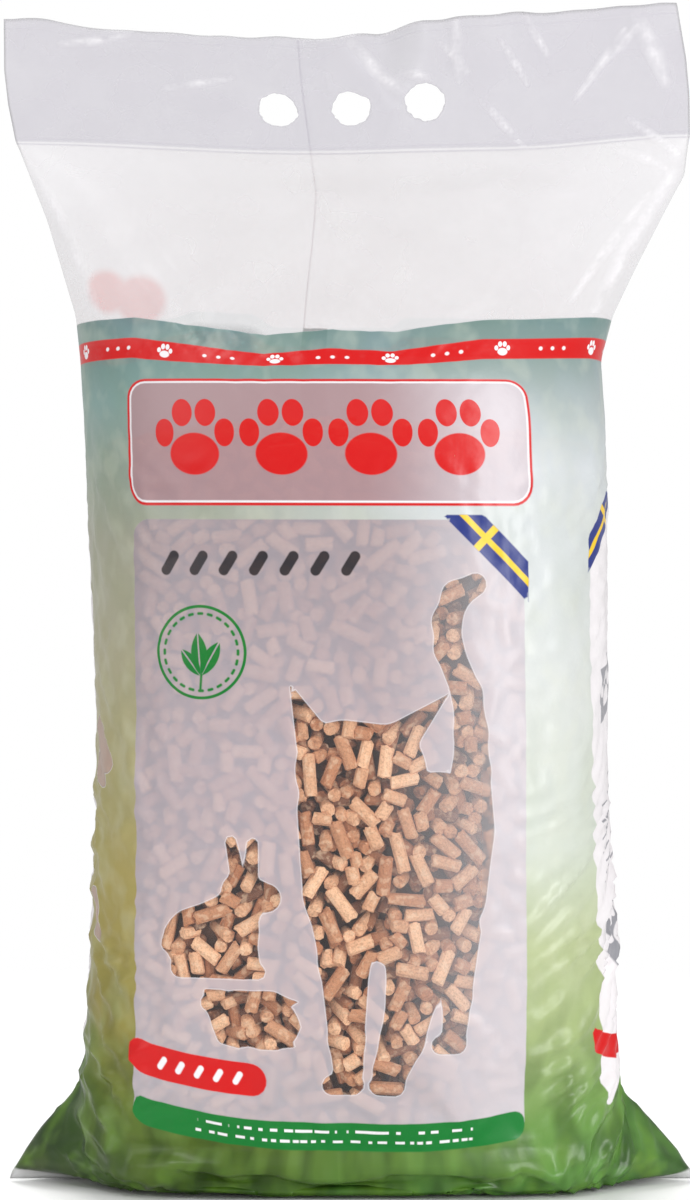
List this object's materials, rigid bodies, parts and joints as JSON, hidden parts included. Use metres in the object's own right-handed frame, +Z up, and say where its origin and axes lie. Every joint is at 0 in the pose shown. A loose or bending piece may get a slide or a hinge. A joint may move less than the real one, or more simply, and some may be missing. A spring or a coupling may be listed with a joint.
{
  "type": "cat litter bag",
  "caption": "Standing pillow bag of clear and printed plastic film, filled with wood pellet cat litter, with a flat welded header punched with carry holes.",
  "frame": {"origin": "middle of the base, on the floor that the bag stands on", "axes": "+Z up to the header, +X to the right as seen from the front, and the front panel faces -Y"},
  "size_m": [0.36, 0.1598, 0.6181],
  "materials": {
    "film": "thin printed film with a soft sheen",
    "pellets": "matt pressed sawdust"
  },
  "bodies": {
    "root": {"film_bag": "film", "pellet_fill": "pellets"}
  },
  "joints": []
}
